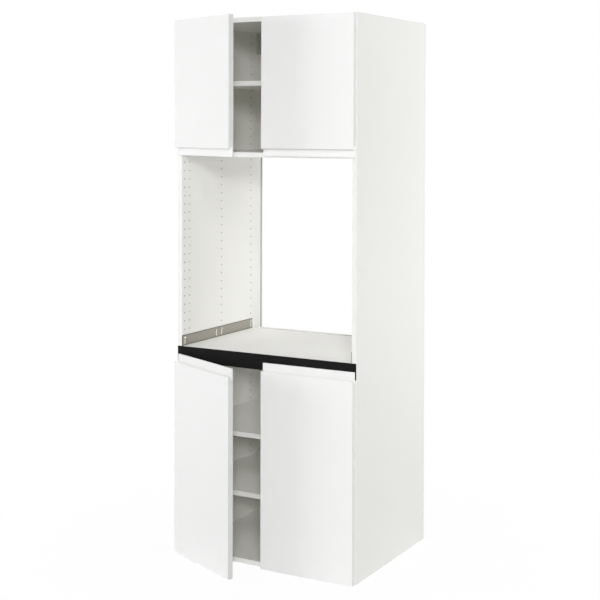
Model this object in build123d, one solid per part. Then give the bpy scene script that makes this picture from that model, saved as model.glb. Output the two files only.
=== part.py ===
from build123d import *
import os

# Tall kitchen cabinet for a built-in oven: two doors above, an open niche, two doors below.
# The origin is the middle of the carcass footprint on its underside. The front faces -Y and +Z is up.
# The left doors stand ajar and the right doors are shut.

# Carcass
width = 762.0
depth = 600.0
height = 2032.0
board = 18.0

# Niche for the oven
niche_floor = 790.0
niche_height = 725.0
oven_vent_gap = 80.0

# Back panels, which slide into a groove along each side panel
back_board = 3.2
behind_groove = 12.0
groove_depth = 8.0
groove_play = 0.15
back_edge_gap = 2.0
back_lap = 12.0
lower_back_drop = 7.0

# System holes: rows at one pitch, in four columns. The second column is one pitch behind the front one.
hole_pitch = 32.0
first_row = 19.0
hole_radius = 2.5
hole_depth = 11.0
front_column = 19.0
middle_column = 280.0
rear_column_from_back = 96.0
row_margin = 10.0

# Small pegs, bolts, eyes and their holes have few sides, because there are so many of them
peg_sides = 6
disc_sides = 8
cup_sides = 18
peg_play = 0.1

# Loose shelves and their pins
shelf_setback = 20.0
shelf_back_gap = 24.5
shelf_side_play = 1.0
low_shelf_level = 243.0
mid_shelf_level = 467.0
pin_tongue = 9.0
pin_tongue_width = 8.0
pin_tongue_thickness = 2.5
pin_seat = 0.5
pin_peg_length = 9.0

# Cam fittings between the fixed panels and the sides
fitting_inset = 60.0
cam_radius = 7.5
cam_thickness = 12.0
cam_from_end = 24.0
bolt_radius = 3.0
bolt_in_side = 10.0

# Steel angle rails that carry the oven shelf
rail_thickness = 1.5
rail_rise = 40.0
rail_foot = 30.0
rail_short_of_shelf = 5.0
rail_play = 0.2
rail_slot_width = 5.5
rail_slot_height = 28.0
rail_slot_above_shelf = 4.0
rail_extra_slot = 242.0
screw_head_radius = 4.2
screw_head_height = 1.8

# Black cover strip across the front of the oven shelf
strip_thickness = 1.2
strip_height = 58.5
strip_below_shelf = 0.3

# Doors with an integrated handle along one edge
door_thickness = 22.0
door_gap = 4.0
door_side_inset = 1.5
middle_gap = 3.0
lower_door_clear = 1.5
lower_door_below_niche = 30.0
upper_door_lap = 5.0
upper_door_clear = 3.0
door_front_radius = 2.0
door_hinge_chamfer = 3.0
door_free_chamfer = 1.0
handle_height = 28.0
flange_thickness = 4.5
lip_thickness = 7.0
channel_depth = 14.0
opening_angle = 25.0

# Bumpers on the backs of the doors
bumper_radius = 4.0
bumper_from_edge = 12.0
bumper_from_end = 6.0
bumper_play = 0.3

# Cup hinges
hinge_from_door_end = 100.0
cup_radius = 17.5
cup_depth = 13.2
cup_floor = 0.8
cup_from_edge = 4.0
cup_play = 0.1
wing_width = 24.0
wing_height = 64.0
wing_thickness = 1.2
wing_corner = 5.0
pivot_from_edge = 9.0
pivot_depth = 9.5
pivot_radius = 1.25
pivot_play = 0.05
eye_radius = 2.6
slot_half_length = 15.6
slot_play = 0.3
pin_hold = 2.5
neck_thickness = 3.2
neck_reach = 14.0
neck_bend = 3.5
arm_width = 12.0
arm_length = 66.0
arm_wall = 1.2
arm_wall_start = 6.0
plate_thickness = 2.6
plate_width = 18.0
plate_margin = 10.0
rib_play = 0.3

# Hanging brackets in the upper rear corners
bracket_thickness = 2.0
bracket_width = 41.0
bracket_height = 84.0
bracket_below_top = 2.0
wall_bolt_radius = 4.5
wall_hole_radius = 6.0
bracket_screw_spacing = 32.0

# Holes for legs in the underside
leg_hole_radius = 5.0
leg_hole_depth = 12.0
leg_inset_side = 60.0
leg_inset_front = 70.0
leg_inset_rear = 60.0

# Derived places
inner = width / 2 - board
front = -depth / 2
rear = depth / 2
second_column = front_column + hole_pitch
rear_column = depth - rear_column_from_back
groove_back = rear - behind_groove
groove_front = groove_back - back_board - 2 * groove_play
panel_depth = groove_front - front
shelf_depth = panel_depth - shelf_setback - shelf_back_gap
oven_shelf_depth = depth - oven_vent_gap
rail_length = oven_shelf_depth - rail_short_of_shelf
niche_ceiling = niche_floor + niche_height
strip_top = niche_floor - strip_below_shelf
strip_bottom = strip_top - strip_height
door_width = (width - 2 * door_side_inset - middle_gap) / 2
lower_door_top = niche_floor - lower_door_below_niche
upper_door_bottom = niche_ceiling + upper_door_lap
upper_door_top = height - upper_door_clear
pivot_x = door_side_inset + pivot_from_edge
pivot_y = -door_gap - pivot_depth
cup_x = door_side_inset + cup_from_edge + cup_radius
arm_inner_face = pivot_x + neck_reach - neck_thickness / 2


def block(x0, x1, y0, y1, z0, z1):
    """A box between two corners."""
    return Pos((x0 + x1) / 2, (y0 + y1) / 2, (z0 + z1) / 2) * Box(x1 - x0, y1 - y0, z1 - z0)


def peg(radius, length, sides=peg_sides):
    """A many-sided peg that starts at the origin and runs along +X."""
    return extrude(Plane.YZ * RegularPolygon(radius, sides), amount=length)


def upright_peg(radius, length, sides=peg_sides):
    """A many-sided peg that starts at the origin and runs along +Z."""
    return extrude(RegularPolygon(radius, sides), amount=length)


def both_sides(shape):
    """A shape on the left of the cabinet and its mirror image on the right."""
    return [shape, mirror(shape, about=Plane.YZ)]


def from_left(shape):
    """Moves a shape drawn from the left outer face and the front plane into the cabinet's frame."""
    return Pos(-width / 2, front, 0) * shape


def nearest_row(level):
    """The height of the row of system holes nearest to a level."""
    return first_row + hole_pitch * round((level - first_row) / hole_pitch)


rail_row = nearest_row(niche_floor + rail_slot_above_shelf + rail_slot_height)
lower_hinge_rows = [
    nearest_row(lower_door_clear + hinge_from_door_end),
    nearest_row(lower_door_top - hinge_from_door_end),
]
upper_hinge_rows = [
    nearest_row(upper_door_bottom + hinge_from_door_end),
    nearest_row(upper_door_top - hinge_from_door_end),
]
shelf_rows = [
    nearest_row(low_shelf_level),
    nearest_row(mid_shelf_level),
    nearest_row((niche_ceiling + height) / 2),
]
fixed_levels = [0.0, niche_ceiling, height - board]
bracket_top = height - board - bracket_below_top
bracket_rows = [
    bracket_top - bracket_height / 2 - bracket_screw_spacing / 2,
    bracket_top - bracket_height / 2 + bracket_screw_spacing / 2,
]
fitting_depths = [fitting_inset, panel_depth - fitting_inset]


def niche_rows():
    """Heights of the rows of system holes that stay open in the niche."""
    rows = []
    level = first_row
    while level < niche_ceiling - row_margin:
        if level > niche_floor + rail_rise + row_margin:
            rows.append(level)
        level += hole_pitch
    return rows


def hole_places():
    """Every system hole of one side panel, as pairs of distance from the front edge and height."""
    places = []
    for level in niche_rows():
        for column in (front_column, second_column, middle_column, rear_column):
            places.append((column, level))
    for column in (front_column, middle_column, rear_column):
        places.append((column, rail_row))
    for level in lower_hinge_rows + upper_hinge_rows:
        places.append((front_column, level))
        places.append((second_column, level))
    for level in shelf_rows:
        places.append((second_column, level))
        places.append((rear_column, level))
    for level in bracket_rows:
        places.append((bracket_screw_column(), level))
    return places


def bracket_screw_column():
    """Distance of the hanging bracket's screws from the front edge."""
    return panel_depth - bracket_width / 2


def side_panel():
    """The left side panel: drilled on its inner face and grooved along its rear edge."""
    panel = block(-width / 2, -inner, front, rear, 0, height)
    cuts = [block(-inner - groove_depth, -inner, groove_front, groove_back, 0, height)]
    for column, level in hole_places():
        cuts.append(Pos(-inner - hole_depth, front + column, level) * peg(hole_radius, hole_depth))
    for level in fixed_levels:
        for place in fitting_depths:
            bolt_hole = peg(bolt_radius + peg_play, bolt_in_side + peg_play)
            cuts.append(Pos(-inner - bolt_in_side - peg_play, front + place, level + board / 2) * bolt_hole)
    return panel - cuts


def fixed_panel(level):
    """A panel between the sides, with the holes of its fittings at both ends."""
    panel = block(-inner, inner, front, groove_front, level, level + board)
    cuts = []
    for place in fitting_depths:
        lock_hole = upright_peg(cam_radius + peg_play, cam_thickness + peg_play, disc_sides)
        bolt_hole = peg(bolt_radius + peg_play, cam_from_end)
        cuts += both_sides(Pos(-inner + cam_from_end, front + place, level) * lock_hole)
        cuts += both_sides(Pos(-inner, front + place, level + board / 2) * bolt_hole)
    return panel - cuts


def bottom_panel():
    """The bottom panel, with holes for legs in its underside."""
    panel = fixed_panel(0.0)
    for place in (front + leg_inset_front, groove_front - leg_inset_rear):
        hole = Pos(0, 0, leg_hole_depth / 2) * Cylinder(leg_hole_radius, leg_hole_depth)
        panel -= both_sides(Pos(-width / 2 + leg_inset_side, place, 0) * hole)
    return panel


def cam_locks():
    """Discs in the undersides of the fixed panels, notched for the bolts."""
    locks = []
    for level in fixed_levels:
        for place in fitting_depths:
            lock = upright_peg(cam_radius, cam_thickness, disc_sides)
            half = bolt_radius + peg_play
            notch = block(-cam_radius, half, -half, half, board / 2 - half, cam_thickness)
            lock = Pos(-inner + cam_from_end, front + place, level) * (lock - notch)
            locks += both_sides(lock)
    return locks


def cam_bolts():
    """Bolts from the side panels into the cam locks."""
    bolts = []
    for level in fixed_levels:
        for place in fitting_depths:
            bolt = peg(bolt_radius, bolt_in_side + cam_from_end)
            bolts += both_sides(Pos(-inner - bolt_in_side, front + place, level + board / 2) * bolt)
    return bolts


def back_panel(low, high):
    """A thin back panel that reaches into the grooves of both sides."""
    half = inner + groove_depth - groove_play
    return block(-half, half, groove_front + groove_play, groove_back - groove_play, low, high)


def upper_back_panel():
    """The back of the upper compartment, with holes for the wall bolts."""
    panel = back_panel(niche_ceiling + board - back_lap, height - back_edge_gap)
    hole = Rot(-90, 0, 0) * upright_peg(wall_hole_radius, behind_groove, disc_sides)
    return panel - both_sides(Pos(*wall_bolt_place()) * hole)


def wall_bolt_place():
    """Centre of the left hanging bracket's bolt hole, on the front of its back flange."""
    level = bracket_top - bracket_height / 2
    return (-inner + bracket_width / 2, groove_front + groove_play - bracket_thickness, level)


def hanging_bracket():
    """A steel angle in the upper left rear corner, open for a bolt into the wall."""
    back_face = groove_front + groove_play
    low = bracket_top - bracket_height
    side_flange = block(
        -inner, -inner + bracket_thickness, back_face - bracket_width, back_face, low, bracket_top
    )
    back_flange = block(
        -inner, -inner + bracket_width, back_face - bracket_thickness, back_face, low, bracket_top
    )
    bolt_hole = Rot(-90, 0, 0) * upright_peg(wall_bolt_radius, bracket_thickness, disc_sides)
    cuts = [Pos(*wall_bolt_place()) * bolt_hole]
    for level in bracket_rows:
        screw_hole = peg(hole_radius + peg_play, bracket_thickness)
        cuts.append(Pos(-inner, front + bracket_screw_column(), level) * screw_hole)
    return side_flange + back_flange - cuts


def screw_into_side(column, level, seat):
    """A screw into a system hole of the left side panel, whose head sits a distance off the panel."""
    shank = peg(hole_radius - peg_play, hole_depth - peg_play + seat)
    head = Pos(hole_depth - peg_play + seat, 0, 0) * peg(screw_head_radius, screw_head_height)
    return Pos(-inner - hole_depth + peg_play, front + column, level) * (shank + head)


def bracket_screws():
    """Screws of both hanging brackets."""
    screws = []
    for level in bracket_rows:
        screws += both_sides(screw_into_side(bracket_screw_column(), level, bracket_thickness))
    return screws


def oven_rail():
    """The left oven rail: an angle whose foot carries the oven shelf and whose slots face the holes."""
    low = niche_floor - board - rail_thickness
    high = niche_floor + rail_rise
    wall = block(-inner, -inner + rail_thickness, front, front + rail_length, low, high)
    foot = block(-inner, -inner + rail_foot, front, front + rail_length, low, low + rail_thickness)
    cuts = []
    slot_low = niche_floor + rail_slot_above_shelf
    for column in (front_column, rail_extra_slot, middle_column, rear_column):
        middle = front + column
        half = rail_slot_width / 2
        cuts.append(
            block(-inner, -inner + rail_thickness, middle - half, middle + half,
                  slot_low, slot_low + rail_slot_height)
        )
    return wall + foot - cuts


def oven_rail_screws():
    """Screws through the slots of both oven rails."""
    screws = []
    for column in (front_column, middle_column, rear_column):
        screws += both_sides(screw_into_side(column, rail_row, rail_thickness))
    return screws


def oven_shelf():
    """The shelf that carries the oven, between the two rails and clear of the back."""
    half = inner - rail_thickness - rail_play
    return block(-half, half, front, front + oven_shelf_depth, niche_floor - board, niche_floor)


def cover_strip():
    """The black strip across the front edges of the oven shelf and both side panels."""
    return block(-width / 2, width / 2, front - strip_thickness, front, strip_bottom, strip_top)


def loose_shelf(row):
    """A shelf that lies on four pins in one row of system holes."""
    half = inner - shelf_side_play
    low = row + pin_seat
    return block(-half, half, front + shelf_setback, front + shelf_setback + shelf_depth, low, low + board)


def shelf_pins():
    """Pins in the system holes, each with a flat tongue under its shelf."""
    pins = []
    for row in shelf_rows:
        for column in (second_column, rear_column):
            shank = Pos(-pin_peg_length, 0, 0) * peg(hole_radius - peg_play, pin_peg_length)
            half = pin_tongue_width / 2
            tongue = block(0, pin_tongue, -half, half, pin_seat - pin_tongue_thickness, pin_seat)
            pins += both_sides(Pos(-inner, front + column, row) * (shank + tongue))
    return pins


def door_profile(length):
    """Side outline of a door with its handle at the top: lip, finger channel and thin back flange."""
    face = -door_gap - door_thickness
    back = -door_gap
    lip_back = face + lip_thickness
    flange_face = back - flange_thickness
    lip_end = length - handle_height
    lip_radius = lip_thickness / 2
    channel_radius = (flange_face - lip_back) / 2
    channel_floor = lip_end - channel_depth
    lip_low = lip_end - lip_radius
    channel_low = channel_floor + channel_radius
    with BuildSketch(Plane.YZ) as profile:
        with BuildLine():
            Polyline((back, length), (back, 0), (face, 0), (face, lip_low))
            ThreePointArc((face, lip_low), (face + lip_radius, lip_end), (lip_back, lip_low))
            Line((lip_back, lip_low), (lip_back, channel_low))
            middle = (lip_back + flange_face) / 2
            ThreePointArc((lip_back, channel_low), (middle, channel_floor), (flange_face, channel_low))
            Polyline((flange_face, channel_low), (flange_face, length), (back, length))
        make_face()
        fillet(profile.vertices().group_by(Axis.Z)[0].sort_by(Axis.Y)[0], door_front_radius)
    return profile.sketch


def door_plan():
    """Outline of a left door seen from above: round in front, bevelled behind so that it swings clear."""
    with BuildSketch() as plan:
        with Locations((door_side_inset + door_width / 2, -door_gap - door_thickness / 2)):
            Rectangle(door_width, door_thickness)
        fillet(plan.vertices().group_by(Axis.Y)[0], door_front_radius)
        chamfer(plan.vertices().group_by(Axis.Y)[-1].sort_by(Axis.X)[0], door_hinge_chamfer)
        chamfer(plan.vertices().group_by(Axis.Y)[-1].sort_by(Axis.X)[-1], door_free_chamfer)
    return plan.sketch


def door(low, high, handle_up, hinge_rows):
    """A shut left door, bored for the cups of its hinges."""
    length = high - low
    body = Pos(door_side_inset, 0, 0) * extrude(door_profile(length), amount=door_width)
    if not handle_up:
        body = Pos(0, 0, length) * mirror(body, about=Plane.XY)
    body = Pos(0, 0, low) * (body & extrude(door_plan(), amount=length))
    for row in hinge_rows:
        bore = Rot(90, 0, 0) * upright_peg(cup_radius + cup_play, cup_depth + cup_play, cup_sides)
        body -= Pos(cup_x, -door_gap, row) * bore
    return body


def hinge_cup(row):
    """A hinge cup: a bowl in the door with a slot for the arm, and wings on the door's back."""
    bowl = Rot(90, 0, 0) * upright_peg(cup_radius, cup_depth, cup_sides)
    wing = Rectangle(wing_width, wing_height)
    wing = chamfer(wing.vertices(), wing_corner)
    bowl += Rot(90, 0, 0) * extrude(wing, amount=-wing_thickness)
    half = arm_width / 2 + slot_play
    slot_floor = cup_floor - cup_depth
    bowl -= block(-slot_half_length, slot_half_length, slot_floor, wing_thickness, -half, half)
    pin_hole = extrude(pin_clearance(), amount=half + pin_hold, both=True)
    return Pos(cup_x, -door_gap, row) * bowl - Pos(pivot_x, pivot_y, row) * pin_hole


def pin_clearance():
    """Outline of a hole that a hinge pin fits, with its flats clear of the pin."""
    return RegularPolygon(pivot_radius + pivot_play, disc_sides, major_radius=False)


def hinge_pin(row):
    """The pivot of a hinge, held at both ends in the walls of its cup."""
    length = arm_width + 2 * slot_play + 2 * pin_hold
    return Pos(pivot_x, pivot_y, row) * Cylinder(pivot_radius, length)


def hinge_arm(row):
    """A bent arm: an eye on the pivot, a neck out of the cup and a channel over the mounting plate."""
    half = neck_thickness / 2
    riser = pivot_x + neck_reach
    with BuildSketch() as outline:
        with BuildLine():
            Polyline(
                (pivot_x, pivot_y - half), (riser + half, pivot_y - half), (riser + half, arm_length),
                (riser - half, arm_length), (riser - half, pivot_y + half), (pivot_x, pivot_y + half),
                close=True,
            )
        make_face()
        corners = outline.vertices()
        chamfer(corners.filter_by_position(Axis.X, riser + half, riser + half).sort_by(Axis.Y)[0], neck_bend)
        with Locations((pivot_x, pivot_y)):
            RegularPolygon(eye_radius, disc_sides)
    bent = outline.sketch - Pos(pivot_x, pivot_y) * pin_clearance()
    arm = Pos(0, 0, row - arm_width / 2) * extrude(bent, amount=arm_width)
    wall_x = board + plate_thickness + rib_play
    for low in (row - arm_width / 2 - arm_wall, row + arm_width / 2):
        arm += block(wall_x, riser + half, arm_wall_start, arm_length, low, low + arm_wall)
    return arm


def hinge_plate(row):
    """A mounting plate on the side panel: two pegs in the system holes and a rib that carries the arm."""
    start = front_column - plate_margin
    end = second_column + plate_margin
    half = plate_width / 2
    plate = block(board, board + plate_thickness, start, end, row - half, row + half)
    rib_half = arm_width / 2 - rib_play
    plate += block(board, arm_inner_face, start, end, row - rib_half, row + rib_half)
    for column in (front_column, second_column):
        shank = peg(hole_radius - peg_play, pin_peg_length)
        plate += Pos(board - pin_peg_length, column, row) * shank
    return plate


def bumper(level, stand_off):
    """A bumper on the back of a left door, near its free edge."""
    tall = door_gap - stand_off - bumper_play
    x = door_side_inset + door_width - bumper_from_edge
    return Pos(x, -door_gap, level) * Rot(-90, 0, 0) * upright_peg(bumper_radius, tall, disc_sides)


def swung(shape, angle):
    """A piece of a left door, turned open about its hinge axis."""
    axis = Pos(pivot_x, pivot_y, 0)
    return axis * Rot(0, 0, -angle) * axis.inverse() * shape


def save(name, pieces):
    """Writes one node, which is one solid or a group of separate ones."""
    solids = []
    for piece in pieces:
        solids += piece.solids()
    shape = solids[0] if len(solids) == 1 else Compound(children=solids)
    export_step(shape, "parts/" + name + ".step")


def save_both(name, shape):
    """Writes a piece of the left side and its mirror image on the right."""
    left, right = both_sides(shape)
    save(name + "_left", [left])
    save(name + "_right", [right])


def save_door(storey, low, high, handle_up, hinge_rows, bumpers):
    """Writes the left and right doors of one storey, with what moves with them and their hinges."""
    moving = {
        "door": [door(low, high, handle_up, hinge_rows)],
        "hinge_cups": [hinge_cup(row) for row in hinge_rows],
        "hinge_pins": [hinge_pin(row) for row in hinge_rows],
        "bumpers": bumpers,
    }
    still = {
        "hinge_arms": [hinge_arm(row) for row in hinge_rows],
        "hinge_plates": [hinge_plate(row) for row in hinge_rows],
    }
    for name, pieces in moving.items():
        ajar = [from_left(swung(piece, opening_angle)) for piece in pieces]
        shut = [mirror(from_left(piece), about=Plane.YZ) for piece in pieces]
        save(storey + "_left_" + name, ajar)
        save(storey + "_right_" + name, shut)
    for name, pieces in still.items():
        save(storey + "_left_" + name, [from_left(piece) for piece in pieces])
        save(storey + "_right_" + name, [mirror(from_left(piece), about=Plane.YZ) for piece in pieces])


def save_carcass():
    """Writes the boards, back panels, shelves and their fittings."""
    save_both("side_panel", side_panel())
    save("bottom_panel", [bottom_panel()])
    save("upper_fixed_shelf", [fixed_panel(niche_ceiling)])
    save("top_panel", [fixed_panel(height - board)])
    save("cam_locks", cam_locks())
    save("cam_bolts", cam_bolts())
    save("upper_back_panel", [upper_back_panel()])
    save("lower_back_panel", [back_panel(back_edge_gap, niche_floor - lower_back_drop)])
    save_both("hanging_bracket", hanging_bracket())
    save("hanging_bracket_screws", bracket_screws())
    for name, row in zip(("low_shelf", "middle_shelf", "high_shelf"), shelf_rows):
        save(name, [loose_shelf(row)])
    save("shelf_pins", shelf_pins())


def save_oven_support():
    """Writes the oven shelf, its rails and the cover strip."""
    save("oven_shelf", [oven_shelf()])
    save_both("oven_rail", oven_rail())
    save("oven_rail_screws", oven_rail_screws())
    save("cover_strip", [cover_strip()])


os.makedirs("parts", exist_ok=True)
save_carcass()
save_oven_support()
lower_bumpers = [
    bumper(board / 2, 0.0),
    bumper(lower_door_top - bumper_from_end, strip_thickness),
]
upper_bumpers = [
    bumper(upper_door_bottom + bumper_from_end, 0.0),
    bumper(upper_door_top - bumper_from_end, 0.0),
]
save_door("lower", lower_door_clear, lower_door_top, True, lower_hinge_rows, lower_bumpers)
save_door("upper", upper_door_bottom, upper_door_top, False, upper_hinge_rows, upper_bumpers)
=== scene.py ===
"""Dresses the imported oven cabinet: boards, doors, hinges, rails and fittings, in a plain pale studio."""

import logging
import math
from dataclasses import dataclass, field
from enum import Enum
from functools import cache
from typing import Callable, Iterable

import bpy
from mathutils import Matrix, Vector


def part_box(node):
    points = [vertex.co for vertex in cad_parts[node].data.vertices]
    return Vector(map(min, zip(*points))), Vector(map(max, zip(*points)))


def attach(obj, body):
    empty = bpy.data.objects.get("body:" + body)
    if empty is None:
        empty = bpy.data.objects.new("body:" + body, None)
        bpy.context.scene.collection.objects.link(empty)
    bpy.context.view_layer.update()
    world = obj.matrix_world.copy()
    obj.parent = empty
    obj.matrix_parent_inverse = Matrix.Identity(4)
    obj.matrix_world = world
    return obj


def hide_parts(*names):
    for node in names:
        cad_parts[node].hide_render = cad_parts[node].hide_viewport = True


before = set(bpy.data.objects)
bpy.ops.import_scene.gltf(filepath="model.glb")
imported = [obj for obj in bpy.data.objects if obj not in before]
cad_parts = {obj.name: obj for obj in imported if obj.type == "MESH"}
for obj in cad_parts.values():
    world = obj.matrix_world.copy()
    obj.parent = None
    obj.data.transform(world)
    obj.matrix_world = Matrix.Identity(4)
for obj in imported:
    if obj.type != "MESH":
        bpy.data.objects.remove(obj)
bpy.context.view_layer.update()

LOG = logging.getLogger("oven_cabinet")
Piece = bpy.types.Object
Node = bpy.types.Node
Socket = bpy.types.NodeSocket
Point = tuple[float, float, float]
Colour = tuple[float, float, float]
Span = tuple[float, float]

MM = 0.001
NEAR = 0.1 * MM  # a point this close to a plane lies on it
DOUBLE = 0.001 * MM  # points this close are one
OVERCUT = 1 * MM  # how far a cutter passes the face that it cuts
SHARP = math.radians(40)  # edges sharper than this are eased
LEVEL = 0.9  # a face lies flat where its normal's Z is past this
QUARTER = math.radians(90)
AJAR = math.radians(25)
UP = Vector((0, 0, 1))
MIRROR = Matrix.Scale(-1, 4, (1, 0, 0))
CARCASS = "carcass"
RAIL_SCREW_ROW = 819 * MM
RAIL_SCREW_COLUMNS = (19 * MM, 280 * MM, 504 * MM)


class Side(Enum):
    """A side of the cabinet, as the sign of its X."""

    LEFT = -1
    RIGHT = 1

    @property
    def word(self) -> str:
        """The side's name in lower case."""
        return self.name.lower()

    def place(self, left: Matrix) -> Matrix:
        """Turns a place on the left side into this side's."""
        return left if self is Side.LEFT else MIRROR @ left


class Storey(Enum):
    """Where a pair of doors hangs."""

    LOWER = "lower"
    UPPER = "upper"


class Along(Enum):
    """An axis of the cabinet, as an index into a point."""

    X = 0
    Y = 1
    Z = 2


class Bench:
    """Short calls on Blender's modelling operators. Each one leaves its piece at the origin, in object mode."""

    @staticmethod
    def clear() -> None:
        """Deselects everything."""
        bpy.ops.object.select_all(action="DESELECT")

    @staticmethod
    def pick(*pieces: Piece) -> None:
        """Selects some pieces and makes the first one active.

        Args:
            pieces: The pieces to select.
        """
        Bench.clear()
        for piece in pieces:
            piece.select_set(True)
        bpy.context.view_layer.objects.active = pieces[0]

    @staticmethod
    def settle(name: str) -> Piece:
        """Names the new primitive and moves its place, turn and size into its mesh.

        Args:
            name: The piece's name.

        Returns:
            The piece.
        """
        piece = bpy.context.object
        piece.name = name
        bpy.ops.object.transform_apply(location=True, rotation=True, scale=True)
        return piece

    @staticmethod
    def block(name: str, low: Iterable[float], high: Iterable[float]) -> Piece:
        """Adds a cube and scales it between two corners.

        Args:
            name: The piece's name.
            low: The lowest corner, in metres.
            high: The highest corner, in metres.

        Returns:
            The block.
        """
        low, high = Vector(low), Vector(high)
        Bench.clear()
        bpy.ops.mesh.primitive_cube_add(size=1.0, location=(low + high) / 2)
        bpy.context.object.scale = high - low
        return Bench.settle(name)

    @staticmethod
    def rod(name: str, start: Iterable[float], end: Iterable[float], radius: float, sides: int = 32) -> Piece:
        """Adds a cylinder between two points.

        Args:
            name: The piece's name.
            start: The middle of one end, in metres.
            end: The middle of the other end, in metres.
            radius: The radius, in metres.
            sides: How many sides the cylinder has.

        Returns:
            The rod.
        """
        start, end = Vector(start), Vector(end)
        run = end - start
        Bench.clear()
        bpy.ops.mesh.primitive_cylinder_add(
            vertices=sides, radius=radius, depth=run.length, location=(start + end) / 2,
            rotation=run.to_track_quat("Z", "Y").to_euler(),
        )
        return Bench.settle(name)

    @staticmethod
    def bevel_where(piece: Piece, test: Callable[[Vector, Vector], bool], width: float, segments: int) -> None:
        """Bevels the edges that a test picks by their two ends.

        Args:
            piece: The piece to shape.
            test: Says whether an edge between two points is bevelled.
            width: The bevel's width, in metres.
            segments: The bevel's segments.
        """
        Bench.pick(piece)
        bpy.ops.object.mode_set(mode="EDIT")
        bpy.ops.mesh.select_mode(type="EDGE")
        bpy.ops.mesh.select_all(action="DESELECT")
        bpy.ops.object.mode_set(mode="OBJECT")
        mesh = piece.data
        for edge in mesh.edges:
            edge.select = test(*(mesh.vertices[index].co for index in edge.vertices))
        bpy.ops.object.mode_set(mode="EDIT")
        bpy.ops.mesh.bevel(offset=width, segments=segments, affect="EDGES")
        bpy.ops.object.mode_set(mode="OBJECT")

    @staticmethod
    def round_corners(piece: Piece, along: Along, width: float, segments: int = 6,
                      where: Callable[[Vector], bool] = lambda end: True) -> None:
        """Rounds the edges that run along one axis.

        Args:
            piece: The piece to shape.
            along: The axis that the edges follow.
            width: The corners' radius, in metres.
            segments: The segments of each corner.
            where: Says whether a rounded edge may end at a point.
        """
        others = [axis.value for axis in Along if axis is not along]

        def chosen(first: Vector, second: Vector) -> bool:
            """Whether an edge runs along the axis and ends where it may."""
            level = all(abs(first[axis] - second[axis]) < NEAR for axis in others)
            return level and where(first) and where(second)

        Bench.bevel_where(piece, chosen, width, segments)

    @staticmethod
    def apply(piece: Piece, kind: str, **settings: object) -> None:
        """Adds a modifier and applies it.

        Args:
            piece: The piece to shape.
            kind: The modifier's type.
            settings: The modifier's values.
        """
        Bench.pick(piece)
        modifier = piece.modifiers.new(kind.lower(), kind)
        for key, value in settings.items():
            setattr(modifier, key, value)
        bpy.ops.object.modifier_apply(modifier=modifier.name)

    @staticmethod
    def ease_edges(piece: Piece, width: float, segments: int = 2) -> None:
        """Rounds every sharp edge by a small width in metres, and mends the piece."""
        Bench.apply(piece, "BEVEL", width=width, segments=segments, limit_method="ANGLE", angle_limit=SHARP)
        Bench.mend(piece)

    @staticmethod
    def discard(piece: Piece) -> None:
        """Removes a piece and its mesh."""
        bpy.data.meshes.remove(piece.data)

    @staticmethod
    def join(pieces: list[Piece]) -> Piece:
        """Joins pieces into the first one.

        Args:
            pieces: The pieces to join, two or more.

        Returns:
            The joined piece.
        """
        Bench.pick(*pieces)
        bpy.ops.object.join()
        return pieces[0]

    @staticmethod
    def combine(piece: Piece, operation: str, tools: Iterable[Piece]) -> None:
        """Applies tools to a piece one after the other and removes them.

        Args:
            piece: The piece to shape.
            operation: UNION or DIFFERENCE.
            tools: The pieces to add or to cut away.
        """
        for tool in tools:
            Bench.apply(piece, "BOOLEAN", operation=operation, object=tool, solver="EXACT")
            Bench.discard(tool)

    @staticmethod
    def weld(piece: Piece, *tools: Piece) -> None:
        """Adds solids to a piece."""
        Bench.combine(piece, "UNION", tools)

    @staticmethod
    def cut(piece: Piece, *tools: Piece) -> None:
        """Cuts solids out of a piece."""
        Bench.combine(piece, "DIFFERENCE", tools)

    @staticmethod
    def smooth(piece: Piece, degrees: float = 35.0) -> None:
        """Shades a piece smooth, except over edges sharper than an angle."""
        Bench.pick(piece)
        bpy.ops.object.shade_smooth_by_angle(angle=math.radians(degrees))

    @staticmethod
    def copy(piece: Piece, name: str, place: Matrix) -> Piece:
        """Copies a piece with its own mesh, moved to its place.

        Args:
            piece: The pattern.
            name: The copy's name.
            place: The move, turn or mirror of the mesh.

        Returns:
            The copy.
        """
        twin = piece.copy()
        twin.data = piece.data.copy()
        twin.name = name
        bpy.context.scene.collection.objects.link(twin)
        twin.data.transform(place)
        if place.determinant() < 0:
            Bench.mend(twin)
        return twin

    @staticmethod
    def mend(piece: Piece) -> None:
        """Merges doubled points and turns every face outward.

        Args:
            piece: The piece to mend.
        """
        Bench.pick(piece)
        bpy.ops.object.mode_set(mode="EDIT")
        bpy.ops.mesh.select_all(action="SELECT")
        bpy.ops.mesh.remove_doubles(threshold=DOUBLE)
        bpy.ops.mesh.normals_make_consistent(inside=False)
        bpy.ops.object.mode_set(mode="OBJECT")

    @staticmethod
    def face_slots(piece: Piece, choose: Callable[[Vector, Vector], int]) -> None:
        """Gives each face the material slot that is chosen for its middle and normal."""
        for face in piece.data.polygons:
            face.material_index = choose(face.center, face.normal)


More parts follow.
